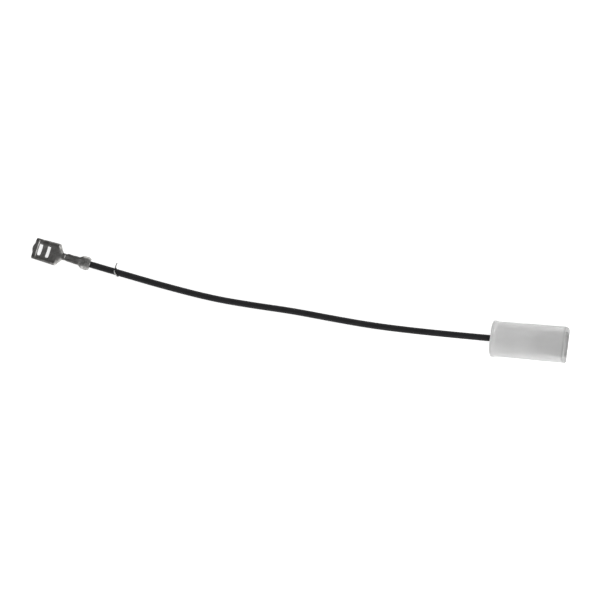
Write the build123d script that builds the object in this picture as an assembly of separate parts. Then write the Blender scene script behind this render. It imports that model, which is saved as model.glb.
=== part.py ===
from build123d import *
import math
import os

# Flame sensor lead: a single-core lead with a stamped female receptacle at each end.
# The receptacle at the +X end sits in a moulded insulating sleeve that slides back
# along the lead; the one at the -X end is bare, and a tie wire grips the lead beside it.
# The lead lies on the plane Z = 0, with the sleeve's axis along X.

# Lead
JACKET_DIAMETER = 2.35
STRAND_DIAMETER = 0.25
STRAND_GAP = 0.01
STRAND_RINGS = 2
LEAD_ROUTE = [
    (-83.3, 7.65, 1.69),
    (-69.9, 5.0, 1.69),
    (-51.1, 1.36, 1.32),
    (-31.9, -1.76, 1.18),
    (-16.7, -2.97, 1.18),
    (-1.4, -3.82, 1.18),
    (13.9, -5.39, 1.18),
    (29.2, -6.77, 1.75),
    (44.4, -7.53, 3.15),
    (63.4, -7.88, 3.5),
    (82.3, -8.0, 3.5),
]

# Receptacle for a flat tab, stamped from one strip
TAB_WIDTH = 6.3
TAB_THICKNESS = 0.8
TAB_SIDE_PLAY = 0.74
STRIP = 0.4
BRIDGE_SAG = 0.35
RAIL_RISE = 0.35
RAIL_GAP = 4.1
BODY_LENGTH = 7.85
BODY_FLARE = 0.2
LIP_LENGTH = 1.25
LIP_RISE = 0.25
TONGUE_REACH = 0.5
TONGUE_WIDTH = 2.6
SLOT_WIDTH = 1.35
SLOT_PITCH = 3.2
FIRST_SLOT = 1.09
SLOT_EDGE = 1.75
SHOULDER_LENGTH = 1.9
WALL_DEPTH = 1.5
ROLL_SHARE = 0.47
CURL_SHARE = 0.9
SLOT_CORNER = 0.54
NECK_WIDTH = 2.4
NECK_CORNER = 0.75
NECK_LENGTH = 1.8
NECK_GROOVE = 0.18
GROOVE_FROM_CRIMP = 0.45
CONDUCTOR_CRIMP_LENGTH = 4.4
CONDUCTOR_CRIMP_WIDTH = 2.85
SEAM_WIDTH = 0.08
SEAM_GROOVE = 0.3
BARREL_ROUND = 0.47
BELL_LENGTH = 1.7
BELL_CORNER = 0.42
BELL_DEPTH = 0.7
INSULATION_CRIMP_LENGTH = 3.5
INSULATION_CRIMP_WIDTH = 5.0
WING_GAP = 0.5
WING_TRIM = 1.1
CRIMP_SQUEEZE = 0.04
JACKET_PAST_CRIMP = 0.8
BRUSH_LENGTH = 0.7
BRUSH_STEP = 0.05

# Insulating sleeve
SLEEVE_WIDTH = 12.8
SLEEVE_WIRE_HEIGHT = 6.8
SLEEVE_MOUTH_HEIGHT = 6.4
SLEEVE_WIRE_CORNER = 3.2
SLEEVE_MOUTH_CORNER = 1.5
SLEEVE_WALL = 0.9
BEAD_PROUD = 0.2
BEAD_WIDTH = 1.7
BEAD_ROUNDING = 0.5
MOUTH_ROUNDING = 0.3
MOUTH_RECESS = 1.25
WIRE_END_ROOM = 2.15
LEAD_HOLE_WIDTH = 5.2
LEAD_HOLE_HEIGHT = 3.7
LEAD_HOLE_CORNER = 1.7
ROOM_CLEARANCE = 0.3
ROOM_CORNER = 1.2

# Tie wire
TIE_DIAMETER = 0.45
TIE_SQUEEZE = 0.03
TIE_STATION = 9.2
TIE_LEAN = 9.0
TAIL_LENGTH = 2.6
TAIL_TIP = 0.16
TAIL_TURN = 38.0
TAIL_LEAN = 24.0

# Sizes that follow from those above
JACKET_RADIUS = JACKET_DIAMETER / 2
STRAND_PITCH = STRAND_DIAMETER + STRAND_GAP
BUNDLE_DIAMETER = 2 * STRAND_RINGS * STRAND_PITCH + STRAND_DIAMETER
BUNDLE_RADIUS = BUNDLE_DIAMETER / 2

INSULATION_TOP = JACKET_RADIUS - CRIMP_SQUEEZE + STRIP
FLOOR_TOP = BUNDLE_RADIUS - CRIMP_SQUEEZE + STRIP
BODY_HEIGHT = 2 * STRIP + TAB_THICKNESS + BRIDGE_SAG + RAIL_RISE
MOUTH_WIDTH = TAB_WIDTH + TAB_SIDE_PLAY + 2 * STRIP
BODY_WIDTH = MOUTH_WIDTH + 2 * BODY_FLARE
ROLL_RADIUS = ROLL_SHARE * BODY_HEIGHT
ROOM_WIDTH = BODY_WIDTH + 2 * ROOM_CLEARANCE

# Stations along a receptacle, from the rear of its insulation crimp
BELL_START = INSULATION_CRIMP_LENGTH
CONDUCTOR_START = BELL_START + BELL_LENGTH
NECK_START = CONDUCTOR_START + CONDUCTOR_CRIMP_LENGTH
SHOULDER_START = NECK_START + NECK_LENGTH
BODY_START = SHOULDER_START + SHOULDER_LENGTH
MOUTH_STATION = BODY_START + BODY_LENGTH
LIP_STATION = MOUTH_STATION + LIP_LENGTH
JACKET_END = INSULATION_CRIMP_LENGTH + JACKET_PAST_CRIMP
BRUSH_END = NECK_START + BRUSH_LENGTH


def at_station(station, section):
    """A section drawn in Y and Z, set square across X at a station."""
    return Plane.YZ.offset(station) * section


def strip_section(half, radii):
    """The strip's cross-section: its outer line on the +Y side, mirrored, with its thickness inside."""
    points = [(-y, z) for y, z in reversed(half)] + list(half)
    line = FilletPolyline(*points, radius=list(reversed(radii)) + list(radii))
    outline = Wire(line.edges()).offset_2d(STRIP, kind=Kind.INTERSECTION, side=Side.RIGHT)
    return make_face(outline.edges())


def rolled_section(width, lift=0):
    """The receptacle's floor, lifted or not, with an edge rolled under on each side."""
    side = width / 2
    low = FLOOR_TOP - BODY_HEIGHT
    half = [(side, FLOOR_TOP + lift), (side, low), (RAIL_GAP / 2, low + RAIL_RISE)]
    return strip_section(half, [ROLL_RADIUS, CURL_SHARE * ROLL_RADIUS])


def channel_section(width, top, depth, corner):
    """An open channel, its back up and its walls hanging down."""
    half = [(width / 2, top), (width / 2, top - depth)]
    return strip_section(half, [corner])


def barrel_section(width, height):
    """A flat-sided section whose two narrow sides are round."""
    return RectangleRounded(width, height, BARREL_ROUND * min(width, height))


def crimp_section(width, top, gap):
    """A barrel closed round the lead, its two wings' edges a gap apart underneath."""
    outside = barrel_section(width, 2 * top)
    inside = barrel_section(width - 2 * STRIP, 2 * (top - STRIP))
    seam = Pos(0, -top) * Rectangle(gap, 2 * STRIP + gap)
    return outside - inside - seam


def prism(start, length, section):
    """A section drawn out along X."""
    return extrude(at_station(start, section), amount=length, dir=(1, 0, 0))


def between(start, length, section, end_section):
    """A straight-sided change from one section to another along X."""
    ends = [at_station(start, section), at_station(start + length, end_section)]
    return loft(ends, ruled=True)


def tongue():
    """The round tongue in the middle of the front lip, in line with the lip's slope."""
    plan = Pos(-STRIP, 0) * Rectangle(2 * STRIP, TONGUE_WIDTH) + Ellipse(TONGUE_REACH, TONGUE_WIDTH / 2)
    lean = math.degrees(math.atan2(LIP_RISE, LIP_LENGTH))
    return Pos(LIP_STATION, 0, FLOOR_TOP + LIP_RISE) * Rot(0, -lean, 0) * extrude(plan, amount=-STRIP)


def body_slots():
    """Two slots across the middle of the floor, one each side of the bowed bridge."""
    reach = MOUTH_WIDTH - 2 * SLOT_EDGE
    deep = STRIP + ROLL_RADIUS / 2
    slot = Box(SLOT_WIDTH, reach, 2 * deep)
    slot = fillet(slot.edges().filter_by(Axis.Z), min(SLOT_CORNER, 0.45 * SLOT_WIDTH))
    places = [MOUTH_STATION - FIRST_SLOT - SLOT_PITCH * n for n in range(2)]
    return [Pos(place, 0, FLOOR_TOP) * slot for place in places]


def spring_bridge():
    """The strip between the slots, bowed down to press on the tab, and the flat piece it replaces."""
    half = RAIL_GAP / 2
    tops = [(-half, FLOOR_TOP), (0, FLOOR_TOP - BRIDGE_SAG), (half, FLOOR_TOP)]
    unders = [(y, z - STRIP) for y, z in tops]
    top_line = ThreePointArc(*tops)
    under_line = ThreePointArc(*unders)
    ends = [Line(tops[0], unders[0]), Line(tops[2], unders[2])]
    bowed = make_face([top_line, under_line, *ends])
    length = SLOT_PITCH - SLOT_WIDTH
    start = MOUTH_STATION - FIRST_SLOT - SLOT_PITCH + SLOT_WIDTH / 2
    flat = Pos(start + length / 2, 0, FLOOR_TOP - STRIP / 2) * Box(length, RAIL_GAP, STRIP)
    return prism(start, length, bowed), flat


def wing_trim():
    """What is cut off the insulation wings' rear corners, more towards their edges."""
    drop = 2 * INSULATION_TOP - STRIP
    slope = math.degrees(math.atan2(WING_TRIM, drop))
    block = Box(drop, INSULATION_CRIMP_WIDTH, 2 * drop, align=(Align.MAX, Align.CENTER, Align.CENTER))
    return Pos(0, 0, INSULATION_TOP - STRIP) * Rot(0, -slope, 0) * Pos(0, 0, -drop) * block


def bell_section(width, top):
    """The open channel that joins the two crimps, at one of its ends."""
    return channel_section(width, top, 2 * BELL_DEPTH * top, 2 * BELL_CORNER * top)


def receptacle():
    """One stamped receptacle along X, its mouth towards +X, with the lead's axis at Z = 0."""
    mouth = rolled_section(MOUTH_WIDTH)
    body = between(BODY_START, BODY_LENGTH, rolled_section(BODY_WIDTH), mouth)
    lip = between(MOUTH_STATION, LIP_LENGTH, mouth, rolled_section(MOUTH_WIDTH, LIP_RISE))
    neck = channel_section(NECK_WIDTH, FLOOR_TOP, WALL_DEPTH, NECK_CORNER)
    wide = channel_section(BODY_WIDTH, FLOOR_TOP, WALL_DEPTH, ROLL_RADIUS)
    shoulder = between(SHOULDER_START, SHOULDER_LENGTH, neck, wide)
    link = prism(NECK_START, NECK_LENGTH, neck)
    closed = crimp_section(CONDUCTOR_CRIMP_WIDTH, FLOOR_TOP, SEAM_WIDTH)
    barrel = prism(CONDUCTOR_START, CONDUCTOR_CRIMP_LENGTH, closed)
    large = bell_section(INSULATION_CRIMP_WIDTH, INSULATION_TOP)
    small = bell_section(CONDUCTOR_CRIMP_WIDTH, FLOOR_TOP)
    bell = between(BELL_START, BELL_LENGTH, large, small)
    folded = crimp_section(INSULATION_CRIMP_WIDTH, INSULATION_TOP, WING_GAP)
    wings = prism(0, INSULATION_CRIMP_LENGTH, folded) - wing_trim()
    bridge, flat = spring_bridge()
    solid = body - flat + bridge + lip + tongue() + shoulder + link + barrel + bell + wings
    for slot in body_slots():
        solid -= slot
    seam = Pos(CONDUCTOR_START + CONDUCTOR_CRIMP_LENGTH / 2, 0, -FLOOR_TOP) * Rot(45, 0, 0)
    side = SEAM_GROOVE * math.sqrt(2)
    solid -= seam * Box(CONDUCTOR_CRIMP_LENGTH, side, side)
    groove = Pos(NECK_START + GROOVE_FROM_CRIMP, 0, FLOOR_TOP) * Rot(0, 45, 0)
    across = NECK_GROOVE * math.sqrt(2)
    solid -= groove * Box(across, NECK_WIDTH, across)
    return solid


def strand_bundle():
    """The lead's bared strands, packed in rings, from the jacket's end through the conductor crimp."""
    strands = []
    for row in range(-STRAND_RINGS, STRAND_RINGS + 1):
        count = 2 * STRAND_RINGS + 1 - abs(row)
        for n in range(count):
            y = (n - (count - 1) / 2) * STRAND_PITCH
            z = row * STRAND_PITCH * math.sqrt(3) / 2
            length = BRUSH_END - JACKET_END - BRUSH_STEP * ((3 * row + 2 * n) % 5)
            section = Plane.YZ.offset(JACKET_END) * Pos(y, z) * Circle(STRAND_DIAMETER / 2)
            strands.append(extrude(section, amount=length, dir=(1, 0, 0)))
    return Compound(children=strands)


def sleeve(terminal_mouth):
    """The moulded sleeve along X, its mouth a recess past the terminal's, centred on Y = Z = 0."""
    mouth = terminal_mouth + MOUTH_RECESS
    wire_end = terminal_mouth - LIP_STATION - WIRE_END_ROOM - BEAD_WIDTH
    length = mouth - wire_end
    wire_section = RectangleRounded(SLEEVE_WIDTH, SLEEVE_WIRE_HEIGHT, SLEEVE_WIRE_CORNER)
    mouth_section = RectangleRounded(SLEEVE_WIDTH, SLEEVE_MOUTH_HEIGHT, SLEEVE_MOUTH_CORNER)
    outer = between(wire_end, length, wire_section, mouth_section)
    outer = fillet(outer.edges().group_by(Axis.X)[-1], MOUTH_ROUNDING)
    bead_section = RectangleRounded(
        SLEEVE_WIDTH + 2 * BEAD_PROUD,
        SLEEVE_WIRE_HEIGHT + 2 * BEAD_PROUD,
        SLEEVE_WIRE_CORNER + BEAD_PROUD,
    )
    bead = prism(wire_end, BEAD_WIDTH, bead_section)
    bead = fillet(bead.edges().group_by(Axis.X)[0], BEAD_ROUNDING)
    inner_height = SLEEVE_WIRE_HEIGHT - 2 * SLEEVE_WALL
    mouth_inner_height = SLEEVE_MOUTH_HEIGHT - 2 * SLEEVE_WALL
    room = between(
        wire_end + BEAD_WIDTH,
        length - BEAD_WIDTH,
        RectangleRounded(ROOM_WIDTH, inner_height, ROOM_CORNER),
        RectangleRounded(ROOM_WIDTH, mouth_inner_height, ROOM_CORNER),
    )
    hole_section = RectangleRounded(LEAD_HOLE_WIDTH, LEAD_HOLE_HEIGHT, LEAD_HOLE_CORNER)
    hole = prism(wire_end, BEAD_WIDTH, hole_section)
    return outer + bead - room - hole


def tie_wire():
    """One turn of wire round the lead at X = 0, its twisted ends standing off the +Y side."""
    ring_radius = JACKET_RADIUS + TIE_DIAMETER / 2 - TIE_SQUEEZE
    ring = Rot(0, 90, 0) * Torus(ring_radius, TIE_DIAMETER / 2)
    tail = Cone(TIE_DIAMETER / 2, TAIL_TIP, TAIL_LENGTH, align=(Align.CENTER, Align.CENTER, Align.MIN))
    tail = Rot(-90 + TAIL_TURN, 0, 0) * Pos(0, 0, ring_radius) * Rot(0, TAIL_LEAN, 0) * tail
    return Rot(0, 0, TIE_LEAN) * (ring + tail)


def lead_path():
    """The lead's centreline: straight runs joined by tangent arcs."""
    points = [Vector(*p) for p in LEAD_ROUTE]
    radii = []
    for before, here, after in zip(points, points[1:], points[2:]):
        turn = math.radians((here - before).get_angle(after - here))
        shorter = min((here - before).length, (after - here).length)
        radii.append(0.45 * shorter / math.tan(turn / 2))
    print("lead radii", [round(r) for r in radii], "shortest allowed", 5 * JACKET_DIAMETER)
    return Wire(FilletPolyline(*LEAD_ROUTE, radius=radii).edges())


def swept(path, section):
    """A round section carried along the lead's path."""
    start = Plane(path @ 0, z_dir=path % 0)
    return sweep(start * section, path=path)


def facing(point, towards):
    """A place at a point with X turned to a direction and Z kept upright."""
    return Location(Plane(point, x_dir=towards, z_dir=(0, 0, 1)))


path = lead_path()
jacket_ring = Circle(JACKET_RADIUS) - Circle(BUNDLE_RADIUS)
jacket = swept(path, jacket_ring)
core = swept(path, Circle(BUNDLE_RADIUS))
print("lead length", round(path.length, 2), "jacket volume", round(jacket.volume, 1))
print("section times length", round(jacket_ring.area * path.length, 1))

bare_end = Vector(*LEAD_ROUTE[0])
bare_run = (bare_end - Vector(*LEAD_ROUTE[1])).normalized()
covered_end = Vector(*LEAD_ROUTE[-1])
bare_place = facing(bare_end - bare_run * JACKET_END, bare_run)
covered_place = facing(covered_end - Vector(1, 0, 0) * JACKET_END, Vector(1, 0, 0))
tie_place = facing(bare_end - bare_run * (JACKET_END + TIE_STATION), -bare_run)

sleeve_axis = Pos(covered_end.X - JACKET_END, covered_end.Y, SLEEVE_WIRE_HEIGHT / 2 + BEAD_PROUD)

parts = {
    "bare_receptacle": bare_place * receptacle(),
    "insulated_receptacle": covered_place * receptacle(),
    "bare_end_strands": bare_place * strand_bundle(),
    "insulated_end_strands": covered_place * strand_bundle(),
    "wire_jacket": jacket,
    "conductor_core": core,
    "insulating_sleeve": sleeve_axis * sleeve(LIP_STATION),
    "tie_wire": tie_place * tie_wire(),
}

os.makedirs("parts", exist_ok=True)
for name, shape in parts.items():
    export_step(shape, f"parts/{name}.step")
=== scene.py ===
import math

import bmesh
import bpy
from mathutils import Matrix, Vector
from mathutils.noise import noise as unevenness


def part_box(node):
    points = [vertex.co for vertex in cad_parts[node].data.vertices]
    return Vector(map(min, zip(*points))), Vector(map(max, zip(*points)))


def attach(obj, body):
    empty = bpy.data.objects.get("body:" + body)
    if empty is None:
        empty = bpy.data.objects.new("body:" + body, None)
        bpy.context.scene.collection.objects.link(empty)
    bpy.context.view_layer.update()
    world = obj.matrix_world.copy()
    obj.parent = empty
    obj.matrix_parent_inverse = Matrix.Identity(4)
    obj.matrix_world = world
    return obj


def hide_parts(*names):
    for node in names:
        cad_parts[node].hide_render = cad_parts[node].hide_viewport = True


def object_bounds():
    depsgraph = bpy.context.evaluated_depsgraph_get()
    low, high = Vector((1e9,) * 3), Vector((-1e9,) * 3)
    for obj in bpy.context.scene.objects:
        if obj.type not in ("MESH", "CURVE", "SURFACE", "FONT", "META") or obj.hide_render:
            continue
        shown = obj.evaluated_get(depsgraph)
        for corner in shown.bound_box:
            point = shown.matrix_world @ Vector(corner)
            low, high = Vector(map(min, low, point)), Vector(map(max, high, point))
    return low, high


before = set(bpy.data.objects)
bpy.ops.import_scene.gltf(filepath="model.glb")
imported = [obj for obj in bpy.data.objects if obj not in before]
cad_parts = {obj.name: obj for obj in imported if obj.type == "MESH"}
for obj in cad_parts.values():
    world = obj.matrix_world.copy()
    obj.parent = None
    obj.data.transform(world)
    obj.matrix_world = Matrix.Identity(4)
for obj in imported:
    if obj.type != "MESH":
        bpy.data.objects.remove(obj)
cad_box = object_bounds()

MM = 0.001


# ---- The view -----------------------------------------------------------------------
# A long lens stands over the lead, leaning a little towards its sleeve and its front, and is
# rolled a few degrees, so that the lead runs from upper left to lower right.

lean_to_sleeve = math.radians(16)
lean_to_front = math.radians(8)
camera_roll = math.radians(7.3)
camera_distance = 4.0
picture_width = 216.0 * MM
aim_right, aim_up = 1.3 * MM, -0.26 * MM

back = Vector((math.sin(lean_to_sleeve), -math.sin(lean_to_front), 0))
back.z = math.sqrt(1 - back.length_squared)
right = Vector((-math.sin(camera_roll), math.cos(camera_roll), 0)).cross(back).normalized()
upward = back.cross(right)

lens = bpy.data.cameras.new("camera")
lens.sensor_width = 36
lens.lens = lens.sensor_width * camera_distance / picture_width
lens.clip_start = 0.1
lens.clip_end = 10
camera = bpy.data.objects.new("camera", lens)
aim = (cad_box[0] + cad_box[1]) / 2 + right * aim_right + upward * aim_up
camera.matrix_world = Matrix.Translation(aim + back * camera_distance) @ Matrix(
    (right, upward, back)
).transposed().to_4x4()
bpy.context.scene.collection.objects.link(camera)
bpy.context.scene.camera = camera


# ---- The wire -----------------------------------------------------------------------
# One stranded wire in an extruded black jacket, cut and stripped at both ends. It lies on
# the table and rises at the sleeve's end to the middle of the sleeve.

jacket_diameter = 2.35 * MM
lead_route = [
    (-83.3, 7.65, 1.69),
    (-69.9, 5.0, 1.69),
    (-51.1, 1.36, 1.32),
    (-31.9, -1.76, 1.18),
    (-16.7, -2.97, 1.18),
    (-1.4, -3.82, 1.18),
    (13.9, -5.39, 1.18),
    (29.2, -6.77, 1.75),
    (44.4, -7.53, 3.15),
    (63.4, -7.88, 3.5),
    (82.3, -8.0, 3.5),
]


def new_look(name):
    """A material, its node tree and its surface shader."""
    look = bpy.data.materials.new(name)
    look.use_nodes = True
    return look, look.node_tree, look.node_tree.nodes["Principled BSDF"]


def put(tree, kind, options=(), **inputs):
    """A node with its options set and its inputs given a value or a link."""
    made = tree.nodes.new(kind)
    for option, value in dict(options).items():
        setattr(made, option, value)
    for name, value in inputs.items():
        socket = made.inputs[name.replace("_", " ")]
        if isinstance(value, bpy.types.NodeSocket):
            tree.links.new(value, socket)
        else:
            socket.default_value = value
    return made


def stretched(tree, scale, turn=0.0):
    """Object coordinates, turned about Z and scaled to so many pattern cells per metre."""
    place = put(tree, "ShaderNodeTexCoord").outputs["Object"]
    turned = put(tree, "ShaderNodeMapping", Vector=place, Rotation=(0, 0, turn)).outputs["Vector"]
    return put(tree, "ShaderNodeMapping", Vector=turned, Scale=scale).outputs["Vector"]


def noise(tree, vector, scale=1.0, detail=3.0, roughness=0.5):
    """Soft noise as a value from 0 to 1."""
    options = dict(Scale=scale, Detail=detail, Roughness=roughness)
    return put(tree, "ShaderNodeTexNoise", Vector=vector, **options).outputs["Fac"]


def ramp(tree, value, *stops):
    """A colour or grey picked by a value, from (place, colour) stops."""
    made = put(tree, "ShaderNodeValToRGB", Fac=value)
    elements = made.color_ramp.elements
    while len(elements) < len(stops):
        elements.new(0.5)
    for element, (place, colour) in zip(elements, stops):
        element.position = place
        element.color = (*colour, 1) if isinstance(colour, tuple) else (colour, colour, colour, 1)
    return made.outputs["Color"]


def bumps(tree, shader, *layers):
    """Bump layers of (height, distance in metres, strength), one on the other."""
    normal = None
    for height, distance, strength in layers:
        made = put(tree, "ShaderNodeBump", Height=height, Distance=distance, Strength=strength)
        if normal:
            tree.links.new(normal, made.inputs["Normal"])
        normal = made.outputs["Normal"]
    tree.links.new(normal, shader.inputs["Normal"])


def jacket_look():
    look, tree, shader = new_look("black jacket")
    grain = noise(tree, stretched(tree, (700, 5200, 5200)), detail=4)
    dust = noise(tree, stretched(tree, (160, 900, 900)), detail=5, roughness=0.65)
    colour = ramp(tree, dust, (0.35, (0.012, 0.012, 0.013)), (0.75, (0.024, 0.024, 0.026)))
    tree.links.new(colour, shader.inputs["Base Color"])
    tree.links.new(ramp(tree, grain, (0.3, 0.5), (0.7, 0.64)), shader.inputs["Roughness"])
    shader.inputs["IOR"].default_value = 1.45
    shader.inputs["Specular IOR Level"].default_value = 0.22
    bumps(tree, shader, (grain, 0.03 * MM, 0.35), (dust, 0.12 * MM, 0.25))
    return look


line = bpy.data.curves.new("wire", "CURVE")
line.dimensions = "3D"
line.bevel_depth = jacket_diameter / 2
line.bevel_resolution = 7
line.resolution_u = 14
line.use_fill_caps = True
spline = line.splines.new("NURBS")
spline.points.add(len(lead_route) - 1)
for point, place in zip(spline.points, lead_route):
    point.co = (*(Vector(place) * MM), 1)
spline.order_u = 3
spline.use_endpoint_u = True
wire = bpy.data.objects.new("wire", line)
bpy.context.scene.collection.objects.link(wire)
wire.data.materials.append(jacket_look())
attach(wire, "lead")
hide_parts("wire_jacket", "conductor_core")


# ---- The receptacles ----------------------------------------------------------------
# Each is one stamping of tin-plated brass strip: a floor with two slots and a bowed bridge
# between them, edges rolled under to hold the tab, a neck, and two crimps that were folded
# round the bared strands and the jacket. The bare one and the covered one are alike.

strip = 0.4
jacket_inside = 4.3
jacket_crimp_width = 5.0
crimp_top = 1.535
wing_end = 3.1
wing_trim = 1.1
core_crimp_width = 2.92
floor_top = 1.005
neck_start = 9.6
neck_width = 2.42
neck_low = -0.495
groove_depth = 0.2
ear_start = 11.4
body_start = 13.3
body_width = 8.24
mouth_width = 7.84
body_length = 7.85
roll = 1.08
rail_depth = 2.3
lip_rise = 0.25
lip_front = 22.4
slot_width = 1.35
slots_at = (16.86, 20.06)
slot_columns = 4
crease_depth = 0.13
bridge_sag = 0.35
bridge_half = 2.05
tongue_reach = 0.5
tongue_half = 1.3
lump_depth, fine_depth = 0.17, 0.08
station_gap = 0.01

flat_steps, bend_steps, wall_steps, curl_steps = 5, 5, 2, 9


def resampled(points, steps):
    """Evenly spaced points along a line of points, its first one left out."""
    spans = [(b - a).length for a, b in zip(points, points[1:])]
    whole = sum(spans)
    out = []
    for n in range(1, steps + 1):
        left = whole * n / steps
        for a, b, span in zip(points, points[1:], spans):
            if left <= span * 1.0001:
                out.append(a.lerp(b, min(1, left / max(span, 1e-9))))
                break
            left -= span
    return out


def quarter(centre, radius, start, steps=8):
    """Points round a quarter circle, clockwise from an angle in degrees."""
    angles = [math.radians(start - 90 * n / steps) for n in range(steps + 1)]
    return [Vector(centre) + radius * Vector((math.cos(a), math.sin(a))) for a in angles]


def half_section(width, top, low, bend, fall=None, curl=None, tip=0, rise=0, split=None):
    """The strip's outer line on one side: floor, bend, wall and, where it is folded under, curl."""
    side = width / 2
    drop = bend if fall is None else fall
    points = [Vector(((side - bend) * n / flat_steps, top)) for n in range(flat_steps + 1)]
    arc = quarter((side - bend, top - bend), bend, 90)
    for point in arc:
        point.y = top - drop + (point.y - top + bend) * drop / bend
    points += resampled(arc, bend_steps)
    if curl is None:
        return points + resampled([Vector((side, top - drop)), Vector((side, low))], wall_steps)
    down = [Vector((side, top - drop)), *quarter((side - curl, low + curl), curl, 0)]
    reach = side - curl - tip
    down += [Vector((tip + 0.45 * reach, low + 0.25 * rise)), Vector((tip, low + rise))]
    wall = [p for p in down if p.y >= split]
    cut = down[len(wall)]
    joint = wall[-1].lerp(cut, (wall[-1].y - split) / (wall[-1].y - cut.y))
    points += resampled([*wall, joint], wall_steps)
    return points + resampled([joint, *down[len(wall):]], curl_steps)


def stations():
    """The strip's section at each station from the rear of the jacket's crimp to the lip."""
    grip = dict(width=jacket_crimp_width, top=crimp_top, low=-crimp_top, bend=1.42)
    grip |= dict(curl=1.42, tip=0.25, split=-0.46)
    core = dict(width=core_crimp_width, top=floor_top, low=-floor_top, bend=0.86)
    core |= dict(curl=0.9, tip=0.04, rise=0.22, split=-0.4)
    for x, narrower, squeeze in ((0.0, 1.0, 0.05), (0.25, 0.6, 0.02), (0.8, 0.2, 0), (1.5, 0, 0)):
        yield x, {**grip, "width": jacket_crimp_width - narrower, "top": crimp_top - squeeze}
    for x in (2.3, 3.0):
        yield x, grip
    yield 3.4, {**grip, "width": jacket_crimp_width - 0.15, "top": crimp_top - 0.05}
    yield 3.9, dict(width=4.1, top=1.36, low=-0.46, bend=1.2)
    yield 4.6, dict(width=3.1, top=1.08, low=-0.42, bend=0.95)
    yield 5.2, {**core, "width": core_crimp_width - 0.06}
    for x in (5.6, 6.6, 7.6, 8.5, 9.2):
        yield x, core
    yield neck_start, {**core, "width": core_crimp_width - 0.12}
    neck = dict(width=neck_width, top=floor_top, low=neck_low, bend=0.75)
    groove = {**neck, "top": floor_top - groove_depth}
    for x, section in ((9.76, neck), (9.87, neck), (10.05, groove), (10.23, neck), (10.6, neck)):
        yield x, section
    yield 11.2, {**neck, "width": 2.55, "bend": 0.75}
    yield 11.5, {**neck, "width": 2.75, "bend": 0.8}
    shoulder = ((11.85, 3.9, 1.3, 0.95), (12.4, 5.7, 1.9, 1.1), (12.95, 7.45, 2.0, 1.15))
    for x, width, bend, fall in shoulder:
        yield x, {**neck, "width": width, "bend": bend, "fall": fall}
    rails = dict(top=floor_top, low=floor_top - rail_depth, bend=roll, curl=0.97)
    rails |= dict(tip=2.05, rise=0.35, split=neck_low)
    taper = (body_width - mouth_width) / body_length
    for x, bend in ((body_start, 1.6), (13.55, 1.25), (14.6, roll), (15.7, roll)):
        yield x, {**rails, "width": body_width - taper * (x - body_start), "bend": bend, "fall": roll}
    for slot in slots_at:
        for part in (-0.5, -0.3, 0, 0.3, 0.5):
            x = slot + part * slot_width
            yield x, {**rails, "width": body_width - taper * (x - body_start)}
        if slot == slots_at[0]:
            yield slot + 1.6, {**rails, "width": 7.98}
    ramp_up = ((20.86, 0.0), (20.98, 0.05), (21.2, 0.22), (21.3, lip_rise), (lip_front, lip_rise))
    for x, rise in ramp_up:
        yield x, {**rails, "width": mouth_width, "top": floor_top + rise}


def dented(x, y, z):
    """How far hand crimping leaves the folded strip in or out of true, in millimetres."""
    lump = unevenness(Vector((x * 0.9 + 3, y * 1.1, z * 1.1)))
    fine = unevenness(Vector((x * 2.3, y * 2.1 + 7, z * 2.1)))
    return lump_depth * lump + fine_depth * fine


def stamped_point(x, column, side, half, section):
    """Where a point of the plain section lands after dents, slots, creases, trim, bridge and tongue."""
    y, z = half[column]
    if x < neck_start:
        push = dented(x, side * y, z)
        away = Vector((y, z)).normalized() if column > 1 else Vector((0, 1))
        y, z = y + push * away.x, z + push * away.y
    for slot in slots_at:
        off = x - slot
        at_corner = abs(off) > 0.45 * slot_width
        if column == slot_columns and station_gap < abs(off) <= 0.5 * slot_width + station_gap:
            x = slot + off * (0.72 if at_corner else 0.9)
            y -= 0.12 if at_corner else 0
        elif abs(off) < station_gap and slot_columns < column <= flat_steps + bend_steps:
            inward = Vector((0, -1))
            if column > flat_steps:
                bend_centre = Vector(half[flat_steps]) - Vector((0, roll))
                inward = (bend_centre - Vector((y, z))).normalized()
            y, z = y + crease_depth * inward.x, z + crease_depth * inward.y
    y *= side
    if x < wing_end and "split" in section:
        down = max(0, (crimp_top - strip - z) / (2 * crimp_top))
        x += wing_trim * (1 - x / wing_end) * down
    inner, outer = slots_at[0] + slot_width / 2, slots_at[1] - slot_width / 2
    if inner - station_gap < x < outer + station_gap and abs(y) < bridge_half and z > 0:
        z -= bridge_sag * (1 - (y / bridge_half) ** 2)
    if x > lip_front - station_gap and abs(y) < tongue_half and z > 0:
        x += tongue_reach * math.sqrt(1 - (y / tongue_half) ** 2)
    return Vector((x, y, z))


def shaped(name, form):
    """An object that holds a bmesh, at the origin."""
    mesh = bpy.data.meshes.new(name)
    form.to_mesh(mesh)
    form.free()
    made = bpy.data.objects.new(name, mesh)
    bpy.context.scene.collection.objects.link(made)
    return made


def settled(piece, sharp=35):
    """Turns a piece with live modifiers into a plain mesh, smooth but for its sharp edges."""
    graph = bpy.context.evaluated_depsgraph_get()
    mesh = bpy.data.meshes.new_from_object(piece.evaluated_get(graph))
    piece.modifiers.clear()
    piece.data = mesh
    mesh.polygons.foreach_set("use_smooth", [True] * len(mesh.polygons))
    mesh.set_sharp_from_angle(angle=math.radians(sharp))
    return piece


def times(tree, first, second):
    """Two values multiplied."""
    made = put(tree, "ShaderNodeMath", {"operation": "MULTIPLY"})
    for socket, value in zip(made.inputs, (first, second)):
        if isinstance(value, bpy.types.NodeSocket):
            tree.links.new(value, socket)
        else:
            socket.default_value = value
    return made.outputs[0]


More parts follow.
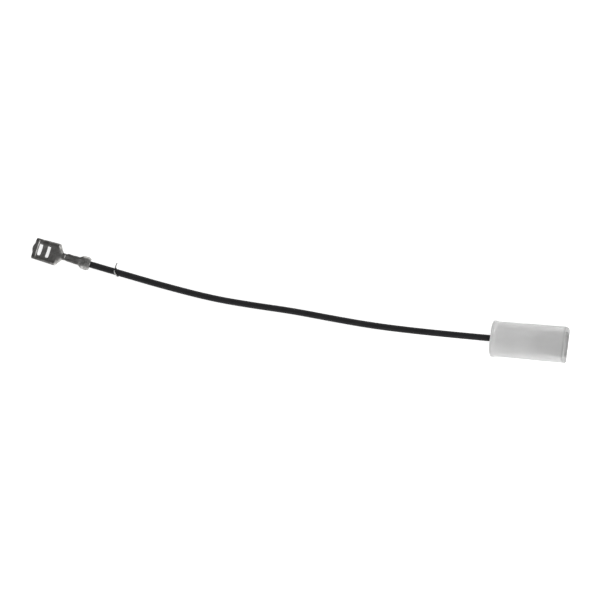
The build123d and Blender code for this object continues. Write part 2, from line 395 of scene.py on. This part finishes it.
def mixed(tree, share, first, second, blend="MIX"):
    """A colour on its way from the first to the second, or to the two multiplied."""
    made = put(tree, "ShaderNodeMix", {"data_type": "RGBA", "blend_type": blend})
    share_socket, first_socket, second_socket = (made.inputs[n] for n in (0, 6, 7))
    for socket, value in ((share_socket, share), (first_socket, first), (second_socket, second)):
        if isinstance(value, bpy.types.NodeSocket):
            tree.links.new(value, socket)
        else:
            socket.default_value = value
    return made.outputs[2]


def attribute(tree, name):
    """A value that the mesh holds at each of its points."""
    return put(tree, "ShaderNodeAttribute", {"attribute_name": name}).outputs["Fac"]


def receptacle_look():
    look, tree, shader = new_look("tinned brass strip")
    along_strip = stretched(tree, (260, 5200, 5200), math.radians(11.2))
    rolling = noise(tree, along_strip, detail=4, roughness=0.6)
    tarnish = noise(tree, stretched(tree, (620, 620, 620)), detail=5, roughness=0.6)
    pits = noise(tree, stretched(tree, (3800, 3800, 3800)), detail=2)
    dark, middling, light = (0.16, 0.157, 0.15), (0.285, 0.28, 0.272), (0.47, 0.465, 0.455)
    plating = ramp(tree, tarnish, (0.32, dark), (0.5, middling), (0.7, light))
    # Painted shade: the rolled edges and bends are darkened to about a quarter, streaked along the
    # rolling grain, so that they reflect less of the bright table.
    bend_shade_amount = times(tree, attribute(tree, "bend_shade"), ramp(tree, rolling, (0.3, 0.95), (0.7, 0.5)))
    shade_on_bends = mixed(tree, bend_shade_amount, plating, (0.24, 0.235, 0.23, 1), "MULTIPLY")
    # Painted highlight: the crimps and the ears' sides are mixed towards this paler, mottled tone, as
    # if they caught the light.
    highlight_colour = ramp(tree, tarnish, (0.35, (0.22, 0.217, 0.208)), (0.65, (0.7, 0.69, 0.675)))
    colour = mixed(tree, attribute(tree, "painted_highlight"), shade_on_bends, highlight_colour)
    tree.links.new(colour, shader.inputs["Base Color"])
    shader.inputs["Metallic"].default_value = 1
    tree.links.new(ramp(tree, tarnish, (0.3, 0.5), (0.7, 0.3)), shader.inputs["Roughness"])
    bumps(tree, shader, (rolling, 0.02 * MM, 0.35), (tarnish, 0.06 * MM, 0.3), (pits, 0.015 * MM, 0.3))
    return look


def stamped_receptacle(name, end, towards):
    """A receptacle whose jacket ends at a point and whose mouth looks along a direction."""
    form = bmesh.new()
    bend_shade = form.verts.layers.float.new("bend_shade")
    painted_highlight = form.verts.layers.float.new("painted_highlight")
    rows = []
    for x, section in stations():
        half = half_section(**section)
        on_crimp, on_ear = x < wing_end + 0.2, ear_start < x < body_start + 0.1
        row = {}
        for n in range(len(half)):
            on_bend = min(1, max(0, (n - flat_steps + 1) / 2))
            # Painted shade on the bends, half as strong on the crimps and none on the ears.
            bend_shade_share = 0 if on_ear else on_bend * (0.5 if x < wing_end + 0.4 else 1)
            # Painted highlight: strong on the crimps, rising on the ears from their flat middle out to
            # their sides.
            highlight_share = 0.7 if on_crimp else 0.9 * min(1, max(0, n - 2) / 3) if on_ear else 0
            for side in (1, -1) if n else (1,):
                row[side * n] = form.verts.new(stamped_point(x, n, side, half, section))
                row[side * n][bend_shade] = bend_shade_share
                row[side * n][painted_highlight] = highlight_share
        rows.append((x, row))
    for (x, row), (next_x, next_row) in zip(rows, rows[1:]):
        middle = (x + next_x) / 2
        in_slot = any(abs(middle - slot) < slot_width / 2 for slot in slots_at)
        reach = min(len(row), len(next_row)) // 2
        for n in range(-reach, reach):
            if in_slot and -slot_columns <= n < slot_columns:
                continue
            form.faces.new((row[n], next_row[n], next_row[n + 1], row[n + 1]))
    sideways = Vector((0, 0, 1)).cross(towards)
    frame_of = Matrix((towards, sideways, Vector((0, 0, 1)))).transposed().to_4x4()
    place = Matrix.Translation(end - towards * jacket_inside * MM) @ frame_of @ Matrix.Scale(MM, 4)
    form.transform(place)
    bmesh.ops.recalc_face_normals(form, faces=form.faces)
    highest = max(form.faces, key=lambda face: face.calc_center_median().z)
    if highest.normal.z < 0:
        bmesh.ops.reverse_faces(form, faces=form.faces)
    piece = shaped(name, form)
    smooth = piece.modifiers.new("smooth", "SUBSURF")
    smooth.levels = smooth.render_levels = 2
    solid = piece.modifiers.new("thickness", "SOLIDIFY")
    solid.thickness = strip * MM
    solid.offset = -1
    edge = piece.modifiers.new("edges", "BEVEL")
    edge.width = 0.05 * MM
    edge.segments = 2
    edge.angle_limit = math.radians(50)
    settled(piece)
    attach(piece, "lead")
    return piece


lead_points = [Vector(p) * MM for p in lead_route]
bare_way = (lead_points[0] - lead_points[1]).normalized()
covered_way = Vector((1, 0, 0))
tinned = receptacle_look()
bare_receptacle = stamped_receptacle("receptacle_bare", lead_points[0], bare_way)
covered_receptacle = stamped_receptacle("receptacle_covered", lead_points[-1], covered_way)
for piece, node in ((bare_receptacle, "bare_receptacle"), (covered_receptacle, "insulated_receptacle")):
    piece.data.materials.append(tinned)
    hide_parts(node)


# ---- The bared strands --------------------------------------------------------------
# Nineteen tinned copper strands laid round each other, one in six in twelve. They run from
# the jacket's cut end through the conductor crimp, and their ends stop at uneven lengths past it.

strand_diameter = 0.25 * MM
strand_pitch = 0.255 * MM
strands_length = 6.0 * MM
strands_twist = math.radians(38) / MM
strand_steps = 24
strand_sides = 10
shortest_strand = 0.93


def group_with(name, **inputs):
    """An empty geometry tree with named number inputs and one geometry output."""
    tree = bpy.data.node_groups.new(name, "GeometryNodeTree")
    tree.interface.new_socket("Geometry", in_out="OUTPUT", socket_type="NodeSocketGeometry")
    for label, value in inputs.items():
        kind = "NodeSocketInt" if isinstance(value, int) else "NodeSocketFloat"
        tree.interface.new_socket(label, in_out="INPUT", socket_type=kind).default_value = value
    return tree, tree.nodes.new("NodeGroupInput").outputs, tree.nodes.new("NodeGroupOutput").inputs


def grown(name, tree):
    """A plain mesh object made by a geometry tree."""
    piece = bpy.data.objects.new(name, bpy.data.meshes.new(name))
    bpy.context.scene.collection.objects.link(piece)
    nodes = piece.modifiers.new("nodes", "NODES")
    nodes.node_group = tree
    bpy.context.view_layer.update()
    return settled(piece)


def strands_look():
    look, tree, shader = new_look("tinned copper")
    patches = noise(tree, stretched(tree, (1500, 3000, 3000)), detail=3)
    colour = ramp(tree, patches, (0.3, (0.5, 0.42, 0.33)), (0.6, (0.66, 0.62, 0.56)))
    tree.links.new(colour, shader.inputs["Base Color"])
    shader.inputs["Metallic"].default_value = 1
    tree.links.new(ramp(tree, patches, (0.3, 0.45), (0.7, 0.28)), shader.inputs["Roughness"])
    bumps(tree, shader, (patches, 0.02 * MM, 0.4))
    return look


def strand_tree(look):
    """Straight strands set in rings about X and then turned together along their length."""
    tree, given, result = group_with(
        "laid strands",
        Pitch=strand_pitch,
        Thickness=strand_diameter,
        Length=strands_length,
        Twist=strands_twist,
    )
    bundle = put(tree, "GeometryNodeJoinGeometry")
    middle_one = put(tree, "GeometryNodeMeshLine", Count=1)
    tree.links.new(middle_one.outputs["Mesh"], bundle.inputs["Geometry"])
    across = (0, math.radians(90), 0)
    for ring in (1, 2):
        radius = times(tree, given["Pitch"], ring)
        circle = put(tree, "GeometryNodeMeshCircle", Vertices=6 * ring, Radius=radius).outputs["Mesh"]
        upright = put(tree, "GeometryNodeTransform", Geometry=circle, Rotation=across)
        tree.links.new(upright.outputs["Geometry"], bundle.inputs["Geometry"])
    end = put(tree, "ShaderNodeCombineXYZ", X=given["Length"])
    straight = put(tree, "GeometryNodeCurvePrimitiveLine", End=end.outputs["Vector"])
    fine = put(tree, "GeometryNodeResampleCurve", Curve=straight.outputs["Curve"], Count=strand_steps)
    lengths = dict(Min=(shortest_strand, 1, 1), Max=(1, 1, 1), Seed=4)
    uneven = put(tree, "FunctionNodeRandomValue", {"data_type": "FLOAT_VECTOR"}, **lengths)
    laid = put(
        tree,
        "GeometryNodeInstanceOnPoints",
        Points=bundle.outputs["Geometry"],
        Instance=fine.outputs["Curve"],
        Scale=uneven.outputs["Value"],
    )
    real = put(tree, "GeometryNodeRealizeInstances", Geometry=laid.outputs["Instances"])
    place = put(tree, "GeometryNodeInputPosition").outputs["Position"]
    along = put(tree, "ShaderNodeSeparateXYZ", Vector=place).outputs["X"]
    angle = times(tree, along, given["Twist"])
    turn = put(tree, "ShaderNodeVectorRotate", {"rotation_type": "X_AXIS"}, Vector=place, Angle=angle)
    twisted = put(
        tree,
        "GeometryNodeSetPosition",
        Geometry=real.outputs["Geometry"],
        Position=turn.outputs["Vector"],
    )
    radius = times(tree, given["Thickness"], 0.5)
    circle = dict(Resolution=strand_sides, Radius=radius)
    round_section = put(tree, "GeometryNodeCurvePrimitiveCircle", **circle)
    solid = put(tree, "GeometryNodeCurveToMesh", Curve=twisted.outputs["Geometry"])
    tree.links.new(round_section.outputs["Curve"], solid.inputs["Profile Curve"])
    solid.inputs["Fill Caps"].default_value = True
    made = put(tree, "GeometryNodeSetMaterial", Geometry=solid.outputs["Mesh"], Material=look)
    tree.links.new(made.outputs["Geometry"], result["Geometry"])
    return tree


def towards_frame(origin, way):
    """Turns a piece drawn along X, in metres, to look along a direction from a place."""
    sideways = Vector((0, 0, 1)).cross(way)
    return Matrix.Translation(origin) @ Matrix((way, sideways, Vector((0, 0, 1)))).transposed().to_4x4()


laid_strands = strand_tree(strands_look())
for name, end, way in (
    ("bare_end_strands", lead_points[0], bare_way),
    ("insulated_end_strands", lead_points[-1], covered_way),
):
    piece = grown(name.replace("_end", ""), laid_strands)
    piece.data.transform(towards_frame(end, way))
    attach(piece, "lead")
    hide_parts(name)


# ---- The tie wire -------------------------------------------------------------------
# A thin galvanised wire, wrapped a little over once round the lead close behind the bare
# receptacle. One end stands off as a short tail and the other ends on top of the lead.

tie_thickness = 0.48
tie_from_crimp = 9.5
tie_bite = 0.02
tie_ring = jacket_diameter / MM / 2 + tie_thickness / 2 - tie_bite
tail_angle = 38
tail_length = 2.5
tail_lean = 0.55
tie_wrap = 308
tie_slant = 1.6


def tie_points():
    """The wire's line about X: in along its tail, down round the lead and up to its end on top."""
    for n in range(6):
        share = n / 6
        reach = tie_ring + 0.15 + (tail_length - 0.15) * (1 - share)
        angle = math.radians(tail_angle + 4 * math.sin(3 * share))
        x = tail_lean * (1 - share) ** 1.3
        yield Vector((x, reach * math.cos(angle), reach * math.sin(angle)))
    for n in range(37):
        turn = n / 36
        angle = math.radians(tail_angle - 12 - tie_wrap * turn)
        bow = math.sin(math.pi * min(1, turn / 0.98)) ** 2
        slant = math.exp(-(((turn - 0.66) / 0.2) ** 2))
        reach = tie_ring + 0.14 * max(0, turn - 0.9) / 0.1
        x = -0.05 + tie_slant * slant + 0.05 * bow
        yield Vector((x, reach * math.cos(angle), reach * math.sin(angle)))


def tie_look():
    look, tree, shader = new_look("galvanised wire")
    drawn = noise(tree, stretched(tree, (2600, 2600, 2600)), detail=4)
    colour = ramp(tree, drawn, (0.3, (0.26, 0.26, 0.257)), (0.7, (0.46, 0.46, 0.455)))
    tree.links.new(colour, shader.inputs["Base Color"])
    shader.inputs["Metallic"].default_value = 1
    tree.links.new(ramp(tree, drawn, (0.3, 0.4), (0.7, 0.26)), shader.inputs["Roughness"])
    bumps(tree, shader, (drawn, 0.015 * MM, 0.4))
    return look


bend_line = bpy.data.curves.new("tie_wire", "CURVE")
bend_line.dimensions = "3D"
bend_line.bevel_depth = tie_thickness / 2
bend_line.bevel_resolution = 3
bend_line.resolution_u = 5
bend_line.use_fill_caps = True
tie_line = list(tie_points())
tie_spline = bend_line.splines.new("NURBS")
tie_spline.points.add(len(tie_line) - 1)
for point, place in zip(tie_spline.points, tie_line):
    point.co = (*place, 1)
tie_spline.points[0].radius = 1.0
tie_spline.points[-1].radius = 0.45
tie_spline.order_u = 3
tie_spline.use_endpoint_u = True
tie = bpy.data.objects.new("tie_loop", bend_line)
bpy.context.scene.collection.objects.link(tie)
tie_mesh = bpy.data.meshes.new_from_object(tie)
bpy.data.objects.remove(tie)
tie = bpy.data.objects.new("tie_loop", tie_mesh)
bpy.context.scene.collection.objects.link(tie)
tie_origin = lead_points[0] - bare_way * (jacket_inside + tie_from_crimp) * MM
tie.data.transform(towards_frame(tie_origin, -bare_way) @ Matrix.Scale(MM, 4))
tie.data.polygons.foreach_set("use_smooth", [True] * len(tie.data.polygons))
tie.data.materials.clear()
tie.data.materials.append(tie_look())
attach(tie, "lead")
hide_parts("tie_wire")

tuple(lead_points[-1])


# ---- The insulating sleeve ----------------------------------------------------------
# One moulding of milky plastic, a flat tube that is oval at its wire end and squarer at its
# mouth, with thick narrow sides, a low bead and an end wall with a hole for the lead.

sleeve_low, sleeve_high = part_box("insulating_sleeve")
sleeve_length = (sleeve_high.x - sleeve_low.x) / MM
sleeve_width = 12.8
wire_end_height, mouth_height = 6.8, 6.4
wire_end_corner, mouth_corner = (4.9, 3.3), (1.7, 1.5)
sleeve_wall = 0.9
bead_proud = 0.2
bead_width = 1.7
bead_round = 0.5
mouth_round = 0.3
room_width = 8.84
room_corner = (1.2, 1.2)
hole_size, hole_corner = (5.2, 3.7), (1.7, 1.7)
hole_edge = 0.12
least_corner = 0.3
bead_fade = 0.55
ring_points = 140


def ring_of(size, corner):
    """Evenly spaced (y, z) points round a flat section with elliptical corners."""
    loop = []
    for side, end, start in ((1, 1, 90), (1, -1, 0), (-1, -1, -90), (-1, 1, -180)):
        centre = Vector((side * (size[0] / 2 - corner[0]), end * (size[1] / 2 - corner[1])))
        for n in range(25):
            angle = math.radians(start - 90 * n / 24)
            loop.append(centre + Vector((corner[0] * math.cos(angle), corner[1] * math.sin(angle))))
    return resampled([*loop, loop[0]], ring_points)


def grown_by(section, more):
    """A section offset outwards, or inwards where the offset is less than nothing."""
    size, corner = section
    grown_corner = tuple(max(least_corner, radius + more) for radius in corner)
    return (size[0] + 2 * more, size[1] + 2 * more), grown_corner


def outside_at(x):
    """The sleeve's outer section, without its bead, at a distance from its wire end."""
    share = x / sleeve_length
    height = wire_end_height + (mouth_height - wire_end_height) * share
    corner = [a + (b - a) * share for a, b in zip(wire_end_corner, mouth_corner)]
    return (sleeve_width, height), tuple(corner)


def room_at(x, less=0.0):
    """The room for the receptacle, at a distance from the sleeve's wire end."""
    height = outside_at(x)[0][1] - 2 * sleeve_wall
    return grown_by(((room_width, height), room_corner), -less)


def sleeve_rings():
    """(distance from the wire end, section) round the whole wall: end, bead, mouth, room, hole."""
    hole = (hole_size, hole_corner)
    yield 0, grown_by(hole, hole_edge)
    yield 0, grown_by(outside_at(0), bead_proud - bead_round - 0.4)
    for n in range(7):
        angle = math.radians(15 * n)
        drop = bead_round * (1 - math.sin(angle))
        yield bead_round * (1 - math.cos(angle)), grown_by(outside_at(0), bead_proud - drop)
    for n in range(9):
        share = n / 8
        x = bead_width + bead_fade * (2 * share - 1)
        yield x, grown_by(outside_at(x), bead_proud * (1 + math.cos(math.pi * share)) / 2)
    for n in range(1, 14):
        plain_start = bead_width + bead_fade
        x = plain_start + (sleeve_length - mouth_round - plain_start) * n / 13
        yield x, outside_at(x)
    for n in range(1, 7):
        angle = math.radians(15 * n)
        x = sleeve_length - mouth_round * (1 - math.sin(angle))
        yield x, grown_by(outside_at(sleeve_length), -mouth_round * (1 - math.cos(angle)))
    yield sleeve_length, room_at(sleeve_length, -0.22)
    yield sleeve_length - 0.06, room_at(sleeve_length, -0.07)
    yield sleeve_length - 0.22, room_at(sleeve_length)
    for n in range(1, 9):
        x = sleeve_length - 0.22 - (sleeve_length - 0.22 - bead_width - 0.3) * n / 8
        yield x, room_at(x)
    yield bead_width + 0.08, room_at(bead_width, 0.08)
    yield bead_width, room_at(bead_width, 0.35)
    yield bead_width, grown_by(hole, hole_edge)
    yield bead_width - hole_edge, hole
    yield hole_edge, hole


def sleeve_look():
    look, tree, shader = new_look("milky plastic")
    cloud = noise(tree, stretched(tree, (180, 320, 320)), detail=4, roughness=0.55)
    flow = noise(tree, stretched(tree, (90, 1500, 1500)), detail=3)
    skin = noise(tree, stretched(tree, (2600, 2600, 2600)), detail=3)
    colour = ramp(tree, cloud, (0.3, (0.86, 0.86, 0.857)), (0.7, (0.91, 0.91, 0.907)))
    tree.links.new(ramp(tree, skin, (0.3, 0.52), (0.7, 0.64)), shader.inputs["Roughness"])
    shader.inputs["IOR"].default_value = 1.5
    shader.inputs["Specular IOR Level"].default_value = 0.3
    place = put(tree, "ShaderNodeTexCoord").outputs["Object"]
    along = put(tree, "ShaderNodeSeparateXYZ", Vector=place).outputs["X"]
    ends = dict(From_Min=sleeve_low.x, From_Max=sleeve_high.x)
    share = put(tree, "ShaderNodeMapRange", Value=along, **ends).outputs["Result"]
    clear = ramp(tree, share, (0.0, 0.42), (0.1, 0.36), (0.45, 0.37), (0.62, 0.48), (1.0, 0.5))
    tree.links.new(clear, shader.inputs["Transmission Weight"])
    # Painted shade: the mouth's end face and its rounding are darkened to about six tenths, where they
    # face the end softbox.
    painted_end_shade = ramp(tree, share, (0.965, 1.0), (0.994, 0.62))
    outside = mixed(tree, 1, colour, painted_end_shade, "MULTIPLY")
    # Painted shade: the walls of the room inside the sleeve are darkened to six tenths towards the
    # mouth.
    painted_inside_shade = times(tree, attribute(tree, "inner"), ramp(tree, share, (0.78, 0.0), (0.94, 1.0)))
    whole = mixed(tree, painted_inside_shade, outside, (0.6, 0.6, 0.6, 1), "MULTIPLY")
    tree.links.new(whole, shader.inputs["Base Color"])
    shader.inputs["Subsurface Weight"].default_value = 0.6
    shader.inputs["Subsurface Radius"].default_value = (1, 1, 1)
    shader.inputs["Subsurface Scale"].default_value = 1.5 * MM
    bumps(tree, shader, (flow, 0.04 * MM, 0.3), (skin, 0.02 * MM, 0.3))
    return look


def make_sleeve():
    middle = (sleeve_low + sleeve_high) / 2
    wire_end = Vector((sleeve_low.x, middle.y, middle.z))
    form = bmesh.new()
    inner = form.verts.layers.float.new("inner")
    rings = []
    for x, section in sleeve_rings():
        points = [Vector((x * MM, y * MM, z * MM)) for y, z in ring_of(*section)]
        rings.append([form.verts.new(wire_end + point) for point in points])
        for vertex in rings[-1]:
            vertex[inner] = 1 if section[0][0] < room_width + 0.2 else 0
    for ring, after in zip(rings, [*rings[1:], rings[0]]):
        for n in range(ring_points):
            m = (n + 1) % ring_points
            form.faces.new((ring[n], ring[m], after[m], after[n]))
    bmesh.ops.recalc_face_normals(form, faces=form.faces)
    piece = settled(shaped("sleeve_moulding", form), 50)
    piece.data.materials.append(sleeve_look())
    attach(piece, "sleeve")
    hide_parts("insulating_sleeve")
    return piece


make_sleeve()


# ---- The table and the light --------------------------------------------------------
# A plain white table, lit from within as a light table is, under a large softbox past the
# sleeve's end, a smaller one in front, and a room that is darker straight overhead.

table_size = 6.0
darkest_way = (-0.28, 0.14, 0.95)


def table_look():
    look, tree, shader = new_look("white table")
    paper = noise(tree, stretched(tree, (9, 9, 9)), detail=4)
    white = ramp(tree, paper, (0.3, (0.8, 0.8, 0.8)), (0.7, (0.82, 0.82, 0.82)))
    tree.links.new(white, shader.inputs["Base Color"])
    tree.links.new(white, shader.inputs["Emission Color"])
    shader.inputs["Emission Strength"].default_value = 0.88
    shader.inputs["Roughness"].default_value = 0.9
    shader.inputs["Specular IOR Level"].default_value = 0.1
    return look


form = bmesh.new()
bmesh.ops.create_grid(form, x_segments=4, y_segments=4, size=table_size / 2)
table = shaped("table", form)
table.data.materials.append(table_look())

world = bpy.data.worlds.new("studio")
bpy.context.scene.world = world
world.use_nodes = True
sky = world.node_tree
glow = sky.nodes["Background"]
looking = put(sky, "ShaderNodeTexCoord").outputs["Generated"]
overhead = put(sky, "ShaderNodeVectorMath", {"operation": "DOT_PRODUCT"})
sky.links.new(looking, overhead.inputs[0])
overhead.inputs[1].default_value = darkest_way
walls = ((0.0, 0.8), (0.45, 0.7), (0.8, 0.42), (0.93, 0.18), (1.0, 0.12))
sky.links.new(ramp(sky, overhead.outputs["Value"], *walls), glow.inputs["Color"])


def softbox(name, place, width, height, watts):
    """A rectangular light that looks at the middle of the lead."""
    lamp = bpy.data.lights.new(name, "AREA")
    lamp.shape = "RECTANGLE"
    lamp.size, lamp.size_y = width, height
    lamp.energy = watts
    made = bpy.data.objects.new(name, lamp)
    made.location = place
    made.rotation_mode = "QUATERNION"
    made.rotation_quaternion = Vector(place).to_track_quat("Z", "Y")
    bpy.context.scene.collection.objects.link(made)


softbox("end softbox", (0.95, 0.2, 0.95), 2.2, 0.7, 9)
softbox("front softbox", (-0.35, -1.0, 0.6), 1.0, 0.5, 1.2)
bpy.context.scene.view_settings.view_transform = "Standard"
